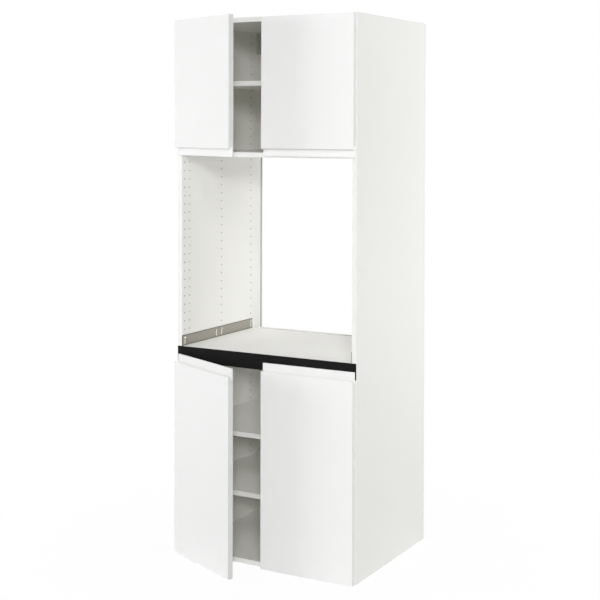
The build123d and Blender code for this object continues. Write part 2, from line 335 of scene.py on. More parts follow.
class Tree:
    """A node tree with short calls to add and join nodes."""

    def __init__(self, tree: bpy.types.NodeTree) -> None:
        """Keeps the tree that nodes are added to."""
        self.tree = tree

    def link(self, source: Socket, target: Socket) -> None:
        """Joins an output to an input."""
        self.tree.links.new(source, target)

    def add(self, kind: str, values: dict[str | int, object] | None = None, **settings: object) -> Node:
        """Adds a node.

        Args:
            kind: The node's type, without its ShaderNode prefix.
            values: Input values by the input's name or place. An output socket here is joined to the input.
            settings: The node's own settings.

        Returns:
            The node.
        """
        node = self.tree.nodes.new("ShaderNode" + kind)
        for key, value in settings.items():
            setattr(node, key, value)
        for key, value in (values or {}).items():
            socket = node.inputs[key]
            if isinstance(value, Socket):
                self.link(value, socket)
            else:
                socket.default_value = (*value, 1.0) if socket.type == "RGBA" else value
        return node

    def math(self, operation: str, *values: object) -> Socket:
        """The result of a Math node on numbers or sockets."""
        return self.add("Math", dict(enumerate(values)), operation=operation).outputs[0]

    def blend(self, factor: Socket, first: object, second: object) -> Socket:
        """Mixes two colours or colour sockets, by how much of the second there is."""
        return self.add("Mix", {0: factor, 6: first, 7: second}, data_type="RGBA").outputs[2]

    def outside(self, value: Socket, low: float, high: float) -> Socket:
        """A mask of the values below or above two limits."""
        return self.math("MAXIMUM", self.math("LESS_THAN", value, low), self.math("GREATER_THAN", value, high))

    def noise(self, place: Socket, scale: object, detail: float) -> Socket:
        """The value of a noise texture at a place."""
        return self.add("TexNoise", {"Vector": place, "Scale": scale, "Detail": detail}).outputs[0]

    def position(self) -> Socket:
        """The socket of the point's place in the cabinet's frame."""
        return self.add("TexCoord").outputs["Object"]

    def axis(self, place: Socket, axis: Along) -> Socket:
        """One axis of a place."""
        return self.add("SeparateXYZ", {0: place}).outputs[axis.value]


class Effects:
    """Surface effects that several finishes share, each built once as a node group."""

    COARSE_SHARE = 0.6
    FINE_SHARE = 0.4
    CHIP_BEND = (4 * MM,) * 3

    @staticmethod
    def group(name: str, results: Iterable[str], **given: Iterable[str]) -> tuple[Tree, dict[str, Socket]]:
        """Starts a node group.

        Args:
            name: The group's name.
            results: The names of its outputs. Colour is a colour, and the others are numbers.
            given: The names of its inputs, by their kind.

        Returns:
            The group's tree and its inputs by name.
        """
        tree = bpy.data.node_groups.new(name, "ShaderNodeTree")
        for kind, labels in given.items():
            for label in labels:
                tree.interface.new_socket(label, in_out="INPUT", socket_type="NodeSocket" + kind)
        for label in results:
            kind = "Color" if label == "Colour" else "Float"
            tree.interface.new_socket(label, in_out="OUTPUT", socket_type="NodeSocket" + kind)
        return Tree(tree), {socket.name: socket for socket in tree.nodes.new("NodeGroupInput").outputs}

    @staticmethod
    def close(tree: Tree, **results: Socket) -> bpy.types.NodeTree:
        """Joins a node group's results to its outputs.

        Args:
            tree: The group's tree.
            results: The sockets, by the outputs' names.

        Returns:
            The node group.
        """
        target = tree.tree.nodes.new("NodeGroupOutput")
        for label, socket in results.items():
            tree.link(socket, target.inputs[label])
        return tree.tree

    @staticmethod
    def vary(tree: Tree, given: dict[str, Socket], mask: Socket, amount: Socket) -> dict[str, Socket]:
        """Lets a group's colour and roughness follow a mask.

        Args:
            tree: The group's tree.
            given: The group's inputs.
            mask: A pattern round 0.5.
            amount: How far the colour follows it.

        Returns:
            The sockets of the colour and the roughness.
        """
        centred = tree.math("SUBTRACT", mask, 0.5)
        gain = tree.math("MULTIPLY_ADD", centred, amount, 1.0)
        tinted = tree.add("VectorMath", {0: given["Colour"], "Scale": gain}, operation="SCALE").outputs[0]
        gloss = tree.math("MULTIPLY_ADD", centred, given["Gloss Spread"], given["Roughness"])
        return {"Colour": tinted, "Roughness": gloss}

    @staticmethod
    def layered(tree: Tree, coarse: Socket, fine: Socket) -> Socket:
        """A fine pattern laid over a coarse one."""
        return tree.math("MULTIPLY_ADD", coarse, Effects.COARSE_SHARE,
                         tree.math("MULTIPLY", fine, Effects.FINE_SHARE))

    @staticmethod
    @cache
    def skin() -> bpy.types.NodeTree:
        """A board's skin: faint clouds in its colour and gloss, and a fine pearl texture.

        Returns:
            The node group.
        """
        tree, given = Effects.group(
            "board_skin", ("Colour", "Roughness", "Height"), Color=("Colour",),
            Float=("Clouds", "Cloud Scale", "Pearl Scale", "Roughness", "Gloss Spread"),
        )
        place = tree.position()
        cloud = tree.noise(place, given["Cloud Scale"], 3.0)
        pearl = tree.add("TexVoronoi", {"Vector": place, "Scale": given["Pearl Scale"]}).outputs["Distance"]
        fine = tree.noise(place, given["Pearl Scale"], 2.0)
        return Effects.close(tree, **Effects.vary(tree, given, cloud, given["Clouds"]),
                             Height=Effects.layered(tree, pearl, fine))

    @staticmethod
    @cache
    def chips() -> bpy.types.NodeTree:
        """Raw board: pressed chips in several browns.

        Returns:
            The node group.
        """
        tree, given = Effects.group("raw_chips", ("Colour", "Height"), Color=("Light", "Dark"),
                                    Float=("Chip Scale",))
        place = tree.position()
        wander = tree.add("TexNoise", {"Vector": place, "Scale": given["Chip Scale"], "Detail": 4.0})
        bent = tree.add("VectorMath", {0: wander.outputs["Color"], 1: Effects.CHIP_BEND, 2: place},
                        operation="MULTIPLY_ADD").outputs[0]
        chip = tree.add("TexVoronoi", {"Vector": bent, "Scale": given["Chip Scale"]}).outputs
        shade = tree.add("SeparateColor", {0: chip["Color"]}).outputs[0]
        return Effects.close(tree, Colour=tree.blend(shade, given["Light"], given["Dark"]),
                             Height=chip["Distance"])

    @staticmethod
    def lay_chips(tree: Tree, light: Colour, dark: Colour, scale: float) -> Node:
        """Adds the raw board's group to a material."""
        return tree.add("Group", {"Light": light, "Dark": dark, "Chip Scale": scale}, node_tree=Effects.chips())

    @staticmethod
    @cache
    def brushing() -> bpy.types.NodeTree:
        """Rolled or brushed metal: fine streaks along one axis over slow clouds.

        Returns:
            The node group.
        """
        tree, given = Effects.group(
            "metal_brushing", ("Colour", "Roughness", "Height"), Color=("Colour",), Vector=("Stretch",),
            Float=("Streaks", "Roughness", "Gloss Spread", "Cloud Scale"),
        )
        place = tree.position()
        drawn = tree.add("VectorMath", {0: place, 1: given["Stretch"]}, operation="MULTIPLY").outputs[0]
        streak = tree.noise(drawn, 1.0, 4.0)
        cloud = tree.noise(place, given["Cloud Scale"], 3.0)
        mask = Effects.layered(tree, cloud, streak)
        return Effects.close(tree, **Effects.vary(tree, given, mask, given["Streaks"]), Height=streak)


@dataclass(frozen=True)
class Finish:
    """A procedural material. Subclasses give the pattern."""

    name: str
    colour: Colour
    roughness: float
    specular: float = 0.5
    metallic: float = 0.0
    relief: float = 0.06
    relief_depth: float = 0.2 * MM

    def ground(self, tree: Tree) -> Colour | Socket:
        """The colour that the pattern lies on. Subclasses may change it from place to place."""
        return self.colour

    def pattern(self, tree: Tree) -> Node:
        """Adds the group of the finish's effect, with the finish's own values."""
        raise NotImplementedError

    def make(self) -> bpy.types.Material:
        """Builds the material, or finds it if it is already there.

        Returns:
            The material.
        """
        found = bpy.data.materials.get(self.name)
        if found:
            return found
        material = bpy.data.materials.new(self.name)
        material.use_nodes = True
        tree = Tree(material.node_tree)
        shader = material.node_tree.nodes["Principled BSDF"].inputs
        shader["Specular IOR Level"].default_value = self.specular
        shader["Metallic"].default_value = self.metallic
        shader["Roughness"].default_value = self.roughness
        effect = self.pattern(tree).outputs
        tree.link(effect["Colour"], shader["Base Color"])
        if "Roughness" in effect:
            tree.link(effect["Roughness"], shader["Roughness"])
        bump = tree.add("Bump", {"Strength": self.relief, "Distance": self.relief_depth,
                                 "Height": effect["Height"]})
        tree.link(bump.outputs[0], shader["Normal"])
        return material


@dataclass(frozen=True)
class SkinFinish(Finish):
    """A white skin, foil, paint or rubber with a fine texture."""

    clouds: float = 0.02
    cloud_scale: float = 6.0
    pearl_scale: float = 900.0
    gloss_spread: float = 0.08

    def pattern(self, tree: Tree) -> Node:
        """Adds the skin's group."""
        return tree.add("Group", {
            "Colour": self.ground(tree), "Clouds": self.clouds, "Cloud Scale": self.cloud_scale,
            "Pearl Scale": self.pearl_scale, "Roughness": self.roughness, "Gloss Spread": self.gloss_spread,
        }, node_tree=Effects.skin())


@dataclass(frozen=True)
class BackFinish(SkinFinish):
    """A back panel: painted in front, raw fibre behind."""

    raw_behind: float = 286.2 * MM
    raw_light: Colour = (0.34, 0.24, 0.15)
    raw_dark: Colour = (0.20, 0.13, 0.08)
    fibre_scale: float = 700.0

    def ground(self, tree: Tree) -> Socket:
        """Paint up to a depth, and fibre behind it.

        Args:
            tree: The material's tree.

        Returns:
            The colour's socket.
        """
        fibre = Effects.lay_chips(tree, self.raw_light, self.raw_dark, self.fibre_scale)
        behind = tree.math("GREATER_THAN", tree.axis(tree.position(), Along.Y), self.raw_behind)
        return tree.blend(behind, self.colour, fibre.outputs["Colour"])


@dataclass(frozen=True)
class DoorFinish(SkinFinish):
    """A door's foil, with painted shade in a grey band down its two upright edges."""

    side: Side = Side.LEFT
    ajar: float = 0.0
    pivot: Span = (370.5 * MM, -313.5 * MM)
    edges: Span = (-9 * MM, 369 * MM)
    # The band colour is the painted shade on the upright edges; the width below it says how far in from each
    # edge that shade reaches.
    band: Colour = (0.70, 0.715, 0.70)
    band_depth: float = 0.4 * MM

    def ground(self, tree: Tree) -> Socket:
        """Foil with a band of painted shade along each upright edge, by the distance across the door from its
        pivot.

        Args:
            tree: The material's tree.

        Returns:
            The colour's socket.
        """
        pivot = (self.side.value * self.pivot[0], self.pivot[1], 0.0)
        away = tree.add("VectorMath", {0: tree.position(), 1: pivot}, operation="SUBTRACT").outputs[0]
        shut = tree.add("Mapping", {"Vector": away, "Rotation": (0.0, 0.0, self.ajar)}).outputs[0]
        across = tree.math("MULTIPLY", tree.axis(shut, Along.X), -self.side.value)
        hinged, free = self.edges
        # Painted shade: the upright edges take the band's darker colour.
        shaded_edges = tree.outside(across, hinged + self.band_depth, free - self.band_depth)
        return tree.blend(shaded_edges, self.colour, self.band)


@dataclass(frozen=True)
class RawFinish(Finish):
    """Raw particle board, as it shows at cut edges and in drilled holes."""

    relief: float = 0.5
    relief_depth: float = 0.4 * MM
    dark: Colour = (0.24, 0.16, 0.10)
    chip_scale: float = 380.0

    def pattern(self, tree: Tree) -> Node:
        """Adds the chips' group."""
        return Effects.lay_chips(tree, self.colour, self.dark, self.chip_scale)


@dataclass(frozen=True)
class MetalFinish(Finish):
    """Rolled, plated or painted sheet metal."""

    metallic: float = 1.0
    relief: float = 0.08
    relief_depth: float = 0.1 * MM
    stretch: Point = (1500.0, 40.0, 1500.0)
    streaks: float = 0.25
    gloss_spread: float = 0.2
    cloud_scale: float = 45.0

    def pattern(self, tree: Tree) -> Node:
        """Adds the streaks' group."""
        return tree.add("Group", {
            "Colour": self.ground(tree), "Stretch": self.stretch, "Streaks": self.streaks,
            "Roughness": self.roughness, "Gloss Spread": self.gloss_spread, "Cloud Scale": self.cloud_scale,
        }, node_tree=Effects.brushing())


@dataclass(frozen=True)
class RailFinish(MetalFinish):
    """Zinc-plated sheet with painted shade in a rim round its outline."""

    depths: Span = (-300 * MM, 222 * MM)
    heights: Span = (790 * MM, 830 * MM)
    # The rim colour is painted shade: a contact shadow along the shelf and a shadow line along the top and both
    # ends.
    rim: Colour = (0.15, 0.142, 0.12)
    rim_width: float = 2.5 * MM

    def ground(self, tree: Tree) -> Socket:
        """Plain zinc inside a rim of painted shade, by the depth and the height of the point.

        Args:
            tree: The material's tree.

        Returns:
            The colour's socket.
        """
        place = tree.position()
        shaded_rims = [tree.outside(tree.axis(place, axis), low + self.rim_width, high - self.rim_width)
                for axis, (low, high) in ((Along.Y, self.depths), (Along.Z, self.heights))]
        return tree.blend(tree.math("MAXIMUM", *shaded_rims), self.colour, self.rim)


BOARD_SKIN = SkinFinish("board_skin", (0.92, 0.917, 0.892), 0.48)
EDGE_BAND = SkinFinish("edge_band", (0.87, 0.868, 0.85), 0.45, clouds=0.01, relief=0.03)
# The shelves' front edges: the edge band's colour darkened with painted shade, as the shelves sit back from the
# front.
SHADED_SHELF_EDGE = SkinFinish("shelf_band", (0.76, 0.752, 0.732), 0.45, clouds=0.01, relief=0.03)
RAW_CORE = RawFinish("raw_core", (0.46, 0.35, 0.25), 0.85)
# Raw board darkened with painted shade, for the inside of the drilled holes and of the back panel's groove.
SHADED_RECESS_CORE = RawFinish("drilled_core", (0.15, 0.12, 0.09), 0.9, dark=(0.06, 0.045, 0.03))
# Both doors are one foil; the ajar doors' foil paints darker shade down their upright edges than the shut
# doors' foil does.
SHUT_FOIL = DoorFinish("shut_foil", (0.91, 0.91, 0.905), 0.6, 0.3, clouds=0.012, pearl_scale=1400.0,
                       relief=0.035, side=Side.RIGHT, band=(0.88, 0.89, 0.88))
AJAR_FOIL = DoorFinish("ajar_foil", (0.91, 0.91, 0.905), 0.6, 0.3, clouds=0.012, pearl_scale=1400.0,
                       relief=0.035, ajar=AJAR)
BACK_PAINT = BackFinish("back_paint", (0.91, 0.905, 0.88), 0.55)
RAIL_ZINC = RailFinish("rail_zinc", (0.37, 0.35, 0.305), 0.42)
BRACKET_ZINC = MetalFinish("bracket_zinc", (0.70, 0.697, 0.665), 0.6, metallic=0.2,
                           stretch=(900.0, 60.0, 900.0))
FITTING_ZINC = MetalFinish("fitting_zinc", (0.56, 0.555, 0.54), 0.38, stretch=(900.0, 900.0, 60.0))
SCREW_ZINC = MetalFinish("screw_zinc", (0.66, 0.655, 0.64), 0.28, stretch=(700.0, 700.0, 700.0))
HINGE_NICKEL = MetalFinish("hinge_nickel", (0.66, 0.655, 0.645), 0.26, stretch=(900.0, 90.0, 900.0))
STRIP_BLACK = MetalFinish("strip_black", (0.011, 0.011, 0.0115), 0.45, metallic=0.0,
                          stretch=(900.0, 900.0, 900.0), streaks=0.5, relief=0.05, specular=0.05)
BUMPER_RUBBER = SkinFinish("bumper_rubber", (0.72, 0.73, 0.73), 0.35, clouds=0.03, cloud_scale=200.0)


class Crew:
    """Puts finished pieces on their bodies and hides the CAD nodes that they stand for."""

    @staticmethod
    def enlist(piece: Piece, body: str, slot: str, finishes: Iterable[Finish], node: str) -> None:
        """Dresses a piece, lets it ride on a body and hides the node it stands for.

        Args:
            piece: The finished piece.
            body: The body that it moves with.
            slot: The record's material slot. Not used.
            finishes: Its finishes, in the order of its material slots.
            node: The CAD node that it stands for.
        """
        for finish in finishes:
            piece.data.materials.append(finish.make())
        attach(piece, body)
        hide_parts(node)
        LOG.info("%s rides on %s with %d faces", piece.name, body, len(piece.data.polygons))

    @staticmethod
    def twins(piece: Piece, node: str, slot: str, *finishes: Finish) -> None:
        """Puts a left piece and its mirror image on the carcass.

        Args:
            piece: The left piece.
            node: The CAD node that it stands for.
            slot: The record's material slot.
            finishes: The finishes of both, in the order of their material slots.
        """
        twin = Bench.copy(piece, piece.name.replace("left", "right"), MIRROR)
        Crew.enlist(piece, CARCASS, slot, finishes, node)
        Crew.enlist(twin, CARCASS, slot, finishes, node.replace("left", "right"))

    @staticmethod
    def pair(pattern: Piece, names: str, place: Matrix, slot: str, finish: Finish, node: str) -> None:
        """Puts a copy of a pattern on each side of the carcass.

        Args:
            pattern: The pattern.
            names: The copies' names, with a gap for the side.
            place: The place on the left side.
            slot: The record's material slot.
            finish: The copies' finish.
            node: The CAD node that they stand for.
        """
        for side in Side:
            piece = Bench.copy(pattern, names.format(side.word), side.place(place))
            Crew.enlist(piece, CARCASS, slot, (finish,), node)

    @staticmethod
    def keep(finish: Finish, *nodes: str) -> None:
        """Gives CAD nodes that stay their finish.

        Args:
            finish: The finish.
            nodes: The nodes' names.
        """
        for node in nodes:
            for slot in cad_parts[node].material_slots:
                slot.material = finish.make()
            LOG.info("%s stays, in %s", node, finish.name)


class Fasteners:
    """Small screws with a cross in the head, given by the head's radius and height."""

    RIM = 0.6  # the rounded share of a head's height
    CROSS = (0.62, 0.28, 0.55)  # reach and width by the radius, depth by the height
    SHANK = 0.5  # the shank's radius by the head's
    SHANK_SPAN = (-3 * MM, 0.2 * MM)

    @staticmethod
    def cross(reach: float, width: float, depth: float, face: float) -> list[Piece]:
        """The two bars that cut a cross into a flat face at a height."""
        return [Bench.block("bar", (-x, -y, face - depth), (x, y, face + depth))
                for x, y in ((reach, width / 2), (width / 2, reach))]

    @staticmethod
    def screw(radius: float, height: float) -> Piece:
        """A screw's round head that rises from the origin along +Z, with a short shank below.

        Args:
            radius: The head's radius.
            height: The head's height.

        Returns:
            The screw.
        """
        head = Bench.rod("screw", (0, 0, 0), (0, 0, height), radius, sides=28)
        Bench.bevel_where(head, lambda first, second: min(first.z, second.z) > height - NEAR,
                          Fasteners.RIM * height, segments=3)
        reach, width, depth = Fasteners.CROSS
        Bench.cut(head, *Fasteners.cross(reach * radius, width * radius, depth * height, height))
        low, high = Fasteners.SHANK_SPAN
        Bench.weld(head, Bench.rod("shank", (0, 0, low), (0, 0, high), Fasteners.SHANK * radius, sides=16))
        Bench.smooth(head)
        return head

    @staticmethod
    def fit(piece: Piece, head: Span, places: Iterable[Matrix]) -> None:
        """Joins screws to a piece.

        Args:
            piece: The piece.
            head: The head's radius and height.
            places: Where the screws go.
        """
        screw = Fasteners.screw(*head)
        heads = [Bench.copy(screw, "head", place) for place in places]
        Bench.discard(screw)
        Bench.join([piece, *heads])

    @staticmethod
    def drive(name: str, head: Span, points: Iterable[Point]) -> None:
        """Drives screws into the left side of the carcass, and mirrored ones into the right side.

        Args:
            name: The start of the screws' names. Its plural is their CAD node.
            head: The head's radius and height.
            points: Where the left heads sit.
        """
        screw = Fasteners.screw(*head)
        for number, point in enumerate(points):
            place = Matrix.Translation(point) @ Matrix.Rotation(QUARTER, 4, "Y")
            Crew.pair(screw, f"{name}_{{}}_{number}", place, "screw_steel", SCREW_ZINC, name + "s")
        Bench.discard(screw)


@dataclass
class Carcass:
    """The boards, their holes and the fittings between them."""

    pitch: float = 32 * MM
    first_row: float = 19 * MM
    hole_radius: float = 2.5 * MM
    hole_depth: float = 11 * MM
    columns: tuple[float, ...] = (19 * MM, 51 * MM, 280 * MM, 504 * MM)
    row_clear: float = 12 * MM
    groove_depth: float = 8 * MM
    groove: Span = (284.5 * MM, 290 * MM)
    fitting_inset: float = 60 * MM
    lock_from_end: float = 24 * MM
    lock_radius: float = 7.4 * MM
    lock_depth: float = 12 * MM
    lock_sunk: float = 0.4 * MM
    lock_ease: float = 0.4 * MM
    lock_play: float = 0.1 * MM
    lock_cross: Point = (4.2 * MM, 1.2 * MM, 2.4 * MM)
    leg_hole_radius: float = 5 * MM
    leg_holes: tuple[Span, ...] = ((321 * MM, -230 * MM), (321 * MM, 224.5 * MM))
    edge_radius: float = 0.6 * MM
    edge_reach: float = 0.72 * MM
    pin_seat: float = 0.5 * MM
    pin_length: float = 9 * MM
    pin_ease: float = 0.25 * MM
    tongue_half: float = 4 * MM
    tongue_thickness: float = 2.5 * MM
    tongue_corner: float = 2.5 * MM
    shank_radius: float = 2.3 * MM
    shank_overlap: float = 0.5 * MM
    collar_radius: float = 4.2 * MM
    collar_thickness: float = 0.8 * MM
    low: Vector = field(default_factory=lambda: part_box("side_panel_left")[0])
    high: Vector = field(default_factory=lambda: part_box("side_panel_left")[1])

    def row_runs(self) -> list[tuple[float, int]]:
        """Runs of free hole rows between the fixed boards.

        Returns:
            The first row's height and the count of rows, for each run.
        """
        bounds = [
            (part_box("bottom_panel")[1].z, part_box("oven_rail_left")[0].z),
            (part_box("oven_rail_left")[1].z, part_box("upper_fixed_shelf")[0].z),
            (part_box("upper_fixed_shelf")[1].z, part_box("top_panel")[0].z + self.row_clear / 2),
        ]
        runs = []
        for floor, ceiling in bounds:
            first = math.ceil((floor + self.row_clear - self.first_row) / self.pitch)
            last = math.floor((ceiling - self.row_clear - self.first_row) / self.pitch)
            runs.append((self.first_row + first * self.pitch, last - first + 1))
        return runs

    def hole(self, column: float, row: float) -> Piece:
        """A drill in the left panel's inner face, by its distance from the front edge and its height."""
        ends = (self.high.x - self.hole_depth, self.high.x + OVERCUT)
        return Bench.rod("drill", *((x, self.low.y + column, row) for x in ends), self.hole_radius, sides=12)

    def drills(self) -> Piece:
        """Every drill of the left panel, joined.

        Returns:
            The drills.
        """
        drills = []
        for row, count in self.row_runs():
            for column in self.columns:
                run = self.hole(column, row)
                Bench.apply(run, "ARRAY", count=count, use_relative_offset=False, use_constant_offset=True,
                            constant_offset_displace=(0, 0, self.pitch))
                drills.append(run)
        drills += [self.hole(column, RAIL_SCREW_ROW) for column in RAIL_SCREW_COLUMNS]
        return Bench.join(drills)

    def side_slot(self, middle: Vector, normal: Vector) -> int:
        """Which finish a face of the left panel has: skin, edge band, raw board, or raw board darkened with
        painted shade inside the holes and the groove.

        Args:
            middle: The face's middle.
            normal: The face's normal.

        Returns:
            The slot's index.
        """
        reach = self.edge_reach
        if middle.y < self.low.y + reach:
            return 1
        if middle.y > self.high.y - reach or not reach <= middle.z <= self.high.z - reach:
            return 2
        return 0 if middle.x < self.low.x + reach or middle.x > self.high.x - NEAR else 3

    def build_sides(self) -> None:
        """Builds both side panels, drilled from top to bottom and grooved for the back."""
        panel = Bench.block("side_panel_left_board", self.low, self.high)
        Bench.ease_edges(panel, self.edge_radius)
        start, end = self.groove
        groove = Bench.block("groove", (self.high.x - self.groove_depth, start, -OVERCUT),
                             (self.high.x + OVERCUT, end, self.high.z + OVERCUT))
        Bench.cut(panel, groove, self.drills())
        Bench.face_slots(panel, self.side_slot)
        Crew.twins(panel, "side_panel_left", "white_board", BOARD_SKIN, EDGE_BAND, RAW_CORE, SHADED_RECESS_CORE)

    def build_board(self, node: str, band: Finish, drills: Iterable[Piece] = ()) -> None:
        """Builds a board with an edge band in front and raw edges at its ends and behind.

        Args:
            node: The CAD node that it stands for.
            band: The finish of its front edge.
            drills: What is cut out of it.
        """
        low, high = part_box(node)
        board = Bench.block(node + "_board", low, high)
        Bench.ease_edges(board, self.edge_radius)
        Bench.cut(board, *drills)
        reach = self.edge_reach

        def slot(middle: Vector, normal: Vector) -> int:
            """Edge band in front, raw board at the other edges and in holes, and skin on the faces."""
            if middle.y < low.y + reach:
                return 1
            return 0 if abs(normal.z) > LEVEL and not low.z + reach < middle.z < high.z - reach else 2

        Bench.face_slots(board, slot)
        Crew.enlist(board, CARCASS, "white_board", (BOARD_SKIN, band, RAW_CORE), node)

    def lock_places(self, node: str) -> list[Vector]:
        """Where the cam locks of a fixed board sit, on its underside.

        Args:
            node: The board's CAD node.

        Returns:
            The places.
        """
        low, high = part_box(node)
        depths = (low.y + self.fitting_inset, high.y - self.fitting_inset)
        edge = high.x - self.lock_from_end
        return [Vector((x, y, low.z)) for y in depths for x in (-edge, edge)]

    def bore(self, place: Vector, radius: float, sides: int) -> Piece:
        """A drill into the underside of a board, as deep as a cam lock."""
        return Bench.rod("drill", place - OVERCUT * UP, place + self.lock_depth * UP, radius, sides)

    def build_boards(self) -> None:
        """Builds the fixed boards with their cam locks, the oven shelf and the loose shelves."""
        lock = Bench.rod("lock", self.lock_sunk * UP, self.lock_depth * UP, self.lock_radius)
        Bench.ease_edges(lock, self.lock_ease)
        Bench.cut(lock, *Fasteners.cross(*self.lock_cross, 0.0))
        Bench.smooth(lock)
        for node in ("bottom_panel", "upper_fixed_shelf", "top_panel"):
            places = self.lock_places(node)
            drills = [self.bore(place, self.lock_radius + self.lock_play, sides=32) for place in places]
            for number, place in enumerate(places):
                piece = Bench.copy(lock, f"{node}_cam_lock_{number}", Matrix.Translation(place))
                Crew.enlist(piece, CARCASS, "fitting_steel", (FITTING_ZINC,), "cam_locks")
            if node == "bottom_panel":
                drills += [self.bore(Vector((side.value * x, y, 0)), self.leg_hole_radius, sides=24)
                           for x, y in self.leg_holes for side in Side]
            self.build_board(node, EDGE_BAND, drills)
        Bench.discard(lock)
        # The oven shelf and the loose shelves take the front edge with painted shade.
        for node in ("oven_shelf", "low_shelf", "middle_shelf", "high_shelf"):
            self.build_board(node, SHADED_SHELF_EDGE)

    def build_pins(self) -> None:
        """Builds the shelf pins: a round shank, a thin collar and a flat tongue."""
        pin = Bench.block("pin", (0, -self.tongue_half, self.pin_seat - self.tongue_thickness),
                          (self.pin_length, self.tongue_half, self.pin_seat))
        Bench.round_corners(pin, Along.Z, self.tongue_corner, segments=4)
        shank = Bench.rod("shank", (-self.pin_length, 0, 0), (self.shank_overlap, 0, 0), self.shank_radius,
                          sides=20)
        collar = Bench.rod("collar", (0, 0, 0), (self.collar_thickness, 0, 0), self.collar_radius, sides=24)
        Bench.weld(pin, shank, collar)
        Bench.ease_edges(pin, self.pin_ease, segments=1)
        Bench.smooth(pin)
        for node in ("low_shelf", "middle_shelf", "high_shelf"):
            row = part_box(node)[0].z - self.pin_seat
            for number, column in enumerate((self.columns[1], self.columns[3])):
                place = Matrix.Translation((self.high.x, self.low.y + column, row))
                Crew.pair(pin, f"{node}_pin_{{}}_{number}", place, "fitting_steel", FITTING_ZINC, "shelf_pins")
        Bench.discard(pin)

    def build(self) -> None:
        """Builds the carcass and dresses the nodes that stay."""
        self.build_sides()
        self.build_boards()
        self.build_pins()
        Crew.keep(BACK_PAINT, "upper_back_panel", "lower_back_panel")
        Crew.keep(FITTING_ZINC, "cam_bolts")
        Crew.keep(STRIP_BLACK, "cover_strip")


@dataclass
class OvenSupport:
    """The slotted angle rails beside the oven and their screws."""

    thickness: float = 1.5 * MM
    slot_half: float = 4 * MM
    slot_height: float = 28 * MM
    slot_rise: float = 4 * MM
    slot_corner: float = 3.92 * MM
    slot_columns: tuple[float, ...] = (19 * MM, 242 * MM, 280 * MM, 504 * MM)
    ease: float = 0.25 * MM
    screw_head: Span = (5 * MM, 1.8 * MM)

    def build(self) -> None:
        """Builds both rails and their screws."""
        low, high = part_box("oven_rail_left")
        face = low.x + self.thickness
        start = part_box("oven_shelf")[1].z + self.slot_rise
        rail = Bench.block("oven_rail_left_angle", low, (face, high.y, high.z))
        Bench.weld(rail, Bench.block("foot", low, (high.x, high.y, low.z + self.thickness)))
        for column in self.slot_columns:
            y = low.y + column
            slot = Bench.block("slot", (low.x - OVERCUT, y - self.slot_half, start),
                               (face + OVERCUT, y + self.slot_half, start + self.slot_height))
            Bench.round_corners(slot, Along.X, self.slot_corner, segments=5)
            Bench.cut(rail, slot)
        Bench.ease_edges(rail, self.ease, segments=1)
        Bench.smooth(rail)
        Crew.twins(rail, "oven_rail_left", "rail_steel", RAIL_ZINC)
        Fasteners.drive("oven_rail_screw", self.screw_head,
                        [(face, low.y + column, RAIL_SCREW_ROW) for column in RAIL_SCREW_COLUMNS])


@dataclass
class HangingBrackets:
    """The steel angles in the upper rear corners, which a bolt fixes to the wall."""

    thickness: float = 2 * MM
    corner: float = 6 * MM
    bolt_radius: float = 4.5 * MM
    ease: float = 0.3 * MM
    screw_rows: Span = (1954 * MM, 1986 * MM)
    screw_head: Span = (4.2 * MM, 1.8 * MM)

    def build(self) -> None:
        """Builds both brackets and their screws."""
        low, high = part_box("hanging_bracket_left")
        face, inside = low.x + self.thickness, high.y - self.thickness
        x, y, z = ((low[axis.value] + high[axis.value]) / 2 for axis in Along)
        angle = Bench.block("hanging_bracket_left_angle", low, (face, high.y, high.z))
        Bench.round_corners(angle, Along.X, self.corner, segments=5, where=lambda end: end.y < low.y + NEAR)
        back = Bench.block("back", (low.x, inside, low.z), high)
        Bench.round_corners(back, Along.Y, self.corner, segments=5, where=lambda end: end.x > high.x - NEAR)
        Bench.weld(angle, back)
        Bench.mend(angle)
        Bench.cut(angle, Bench.rod("bolt_hole", (x, inside - OVERCUT, z), (x, high.y + OVERCUT, z),
                                   self.bolt_radius))
        Bench.ease_edges(angle, self.ease, segments=1)
        Bench.smooth(angle)
        Crew.twins(angle, "hanging_bracket_left", "fitting_steel", BRACKET_ZINC)
        Fasteners.drive("hanging_bracket_screw", self.screw_head, [(face, y, row) for row in self.screw_rows])


